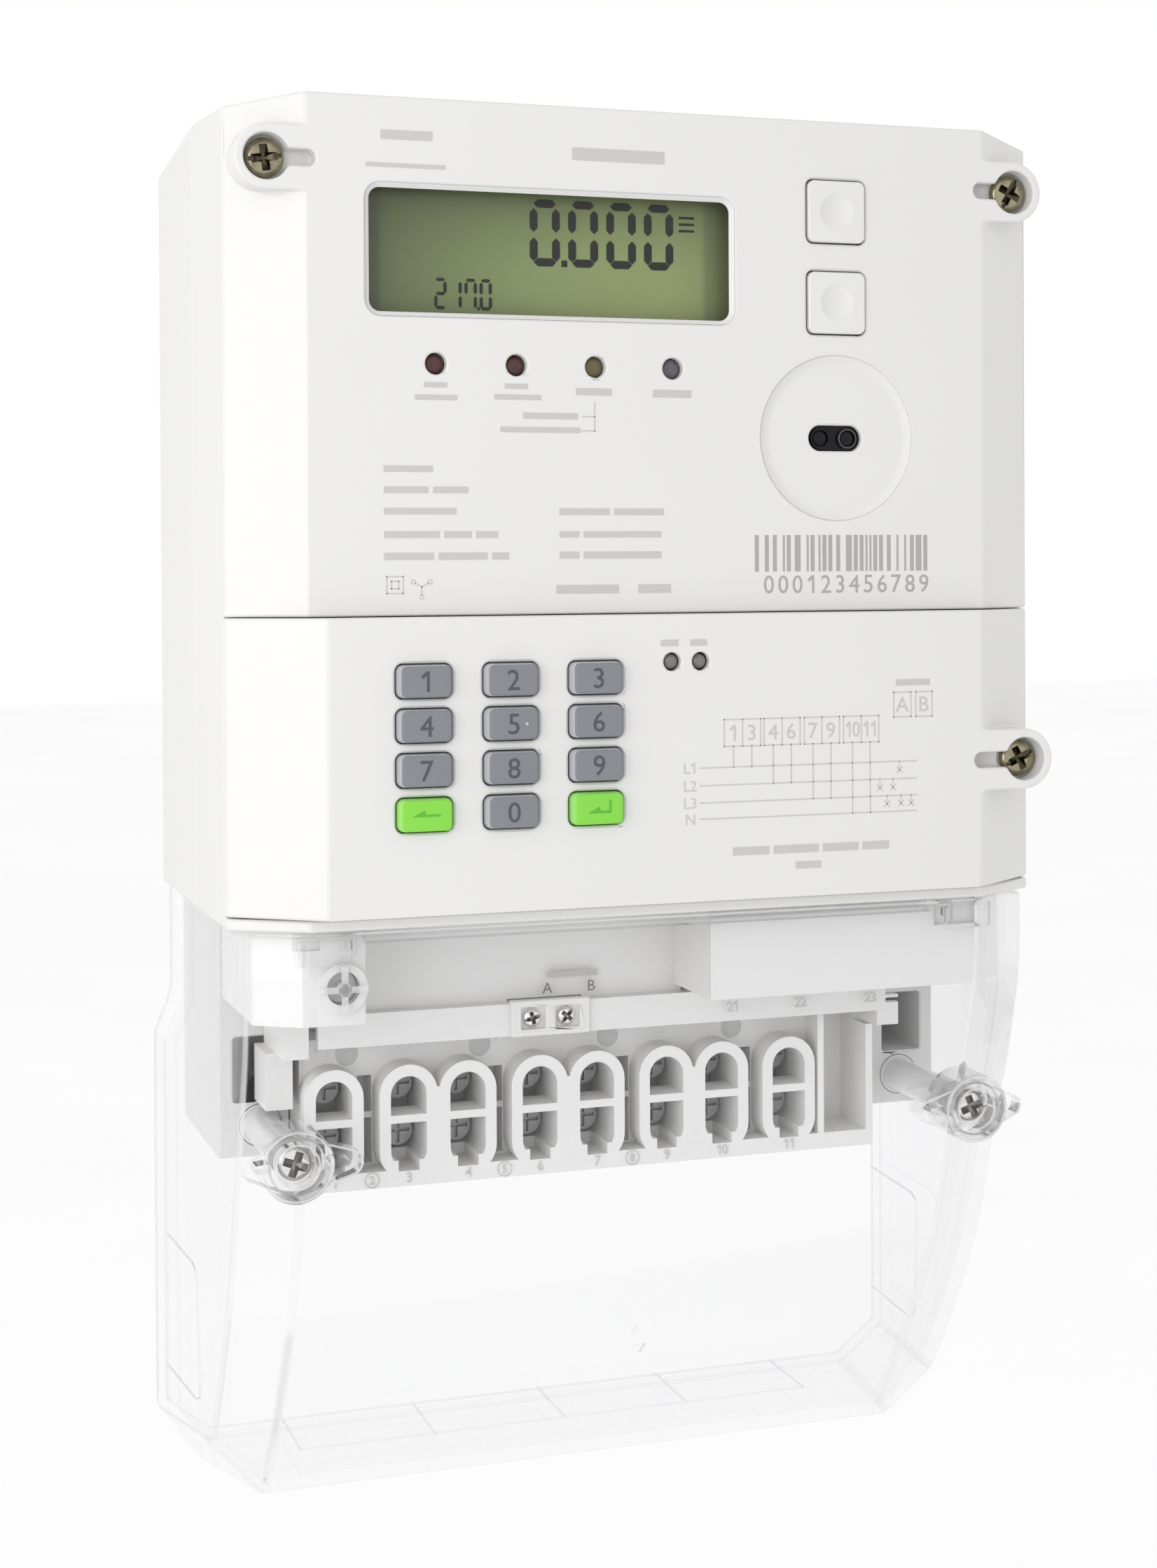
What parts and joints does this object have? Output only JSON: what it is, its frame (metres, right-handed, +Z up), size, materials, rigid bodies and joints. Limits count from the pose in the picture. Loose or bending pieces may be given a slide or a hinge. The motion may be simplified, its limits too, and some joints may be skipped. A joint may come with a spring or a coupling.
{
  "type": "prepaid electricity meter",
  "caption": "Wall-hung three-phase prepayment electricity meter with keypad, display, optical port, terminal block and clear terminal cover.",
  "frame": {"origin": "middle of the flat wall face, halfway up the overall height", "axes": "+X right, +Y back into the wall, +Z up"},
  "size_m": [0.176, 0.0918, 0.2824],
  "materials": {
    "case_plastic": "fine satin",
    "shroud_plastic": "satin",
    "terminal_plastic": "matte",
    "seal_rubber": "matte",
    "clear_plastic": "polished clear",
    "window_glass": "polished clear",
    "display_glass": "satin",
    "light_pipe": "gloss",
    "led_red": "gloss",
    "smoked_plastic": "gloss",
    "steel": "nickel plated",
    "zinc_screw": "yellow zinc plated",
    "brass": "satin",
    "copper": "satin",
    "black_plastic": "matte",
    "key_rubber": "satin",
    "key_green": "satin",
    "board_green": "solder mask",
    "blue_plastic": "gloss",
    "green_wrap": "gloss"
  },
  "bodies": {
    "housing": {"base": "case_plastic", "main_cover": "case_plastic", "case_gasket": "seal_rubber", "terminal_shroud": "shroud_plastic", "terminal_block": "terminal_plastic", "display_window": "window_glass", "display_panel": "display_glass", "display_holder": "shroud_plastic", "main_board": "board_green", "indicator_light_pipes": "light_pipe", "indicator_leds": "led_red", "optical_window": "smoked_plastic", "optical_steel_plate": "steel", "optical_diodes": "smoked_plastic", "display_switches": "black_plastic", "keypad_socket": "black_plastic", "main_board_screws": "steel", "main_cover_screws": "zinc_screw", "terminal_cages": "brass", "terminal_screws": "steel", "terminal_busbars": "copper", "current_transformers": "blue_plastic", "disconnect_relays": "black_plastic", "link_terminal_block": "shroud_plastic", "link_terminal_screws": "steel", "plunger_spring": "steel", "plunger_switch": "black_plastic", "supply_capacitors": "blue_plastic", "backup_battery": "green_wrap", "buzzer": "black_plastic"},
    "keypad_cover": {"keypad_cover": "case_plastic", "keypad_mat": "key_rubber", "keypad_board": "board_green", "keypad_plug": "black_plastic", "link_leds": "smoked_plastic", "keypad_board_screws": "steel", "keypad_cover_screw": "zinc_screw"},
    "key_1": {"key_1": "key_rubber"},
    "key_2": {"key_2": "key_rubber"},
    "key_3": {"key_3": "key_rubber"},
    "key_4": {"key_4": "key_rubber"},
    "key_5": {"key_5": "key_rubber"},
    "key_6": {"key_6": "key_rubber"},
    "key_7": {"key_7": "key_rubber"},
    "key_8": {"key_8": "key_rubber"},
    "key_9": {"key_9": "key_rubber"},
    "key_clear": {"key_clear": "key_green"},
    "key_0": {"key_0": "key_rubber"},
    "key_enter": {"key_enter": "key_green"},
    "upper_display_button": {"upper_display_button": "case_plastic"},
    "lower_display_button": {"lower_display_button": "case_plastic"},
    "cover_plunger": {"cover_plunger": "shroud_plastic"},
    "terminal_cover": {"terminal_cover": "clear_plastic", "terminal_cover_screws": "steel"}
  },
  "joints": [
    {"name": "keypad_cover_release", "type": "slide", "parent": "housing", "child": "keypad_cover", "axis": [0, -1, 0], "range_m": [0, 0.06]},
    {"name": "terminal_cover_release", "type": "slide", "parent": "housing", "child": "terminal_cover", "axis": [0, -1, 0], "range_m": [0, 0.1]},
    {"name": "cover_plunger_travel", "type": "slide", "parent": "housing", "child": "cover_plunger", "axis": [0, -1, 0], "range_m": [0, 0.002], "deforming": ["plunger_spring"]},
    {"name": "upper_button_press", "type": "slide", "parent": "housing", "child": "upper_display_button", "axis": [0, 1, 0], "range_m": [0, 0.0012], "stiffness_N_per_m": 300, "springref_m": -0.0006},
    {"name": "lower_button_press", "type": "slide", "parent": "housing", "child": "lower_display_button", "axis": [0, 1, 0], "range_m": [0, 0.0012], "stiffness_N_per_m": 300, "springref_m": -0.0006},
    {"name": "key_1_press", "type": "slide", "parent": "keypad_cover", "child": "key_1", "axis": [0, 1, 0], "range_m": [0, 0.001], "stiffness_N_per_m": 300, "springref_m": -0.0005},
    {"name": "key_2_press", "type": "slide", "parent": "keypad_cover", "child": "key_2", "axis": [0, 1, 0], "range_m": [0, 0.001], "stiffness_N_per_m": 300, "springref_m": -0.0005},
    {"name": "key_3_press", "type": "slide", "parent": "keypad_cover", "child": "key_3", "axis": [0, 1, 0], "range_m": [0, 0.001], "stiffness_N_per_m": 300, "springref_m": -0.0005},
    {"name": "key_4_press", "type": "slide", "parent": "keypad_cover", "child": "key_4", "axis": [0, 1, 0], "range_m": [0, 0.001], "stiffness_N_per_m": 300, "springref_m": -0.0005},
    {"name": "key_5_press", "type": "slide", "parent": "keypad_cover", "child": "key_5", "axis": [0, 1, 0], "range_m": [0, 0.001], "stiffness_N_per_m": 300, "springref_m": -0.0005},
    {"name": "key_6_press", "type": "slide", "parent": "keypad_cover", "child": "key_6", "axis": [0, 1, 0], "range_m": [0, 0.001], "stiffness_N_per_m": 300, "springref_m": -0.0005},
    {"name": "key_7_press", "type": "slide", "parent": "keypad_cover", "child": "key_7", "axis": [0, 1, 0], "range_m": [0, 0.001], "stiffness_N_per_m": 300, "springref_m": -0.0005},
    {"name": "key_8_press", "type": "slide", "parent": "keypad_cover", "child": "key_8", "axis": [0, 1, 0], "range_m": [0, 0.001], "stiffness_N_per_m": 300, "springref_m": -0.0005},
    {"name": "key_9_press", "type": "slide", "parent": "keypad_cover", "child": "key_9", "axis": [0, 1, 0], "range_m": [0, 0.001], "stiffness_N_per_m": 300, "springref_m": -0.0005},
    {"name": "key_clear_press", "type": "slide", "parent": "keypad_cover", "child": "key_clear", "axis": [0, 1, 0], "range_m": [0, 0.001], "stiffness_N_per_m": 300, "springref_m": -0.0005},
    {"name": "key_0_press", "type": "slide", "parent": "keypad_cover", "child": "key_0", "axis": [0, 1, 0], "range_m": [0, 0.001], "stiffness_N_per_m": 300, "springref_m": -0.0005},
    {"name": "key_enter_press", "type": "slide", "parent": "keypad_cover", "child": "key_enter", "axis": [0, 1, 0], "range_m": [0, 0.001], "stiffness_N_per_m": 300, "springref_m": -0.0005}
  ],
  "couplings": [
    {"joint": "cover_plunger_travel", "follows": "terminal_cover_release", "ratio": 0.02}
  ]
}
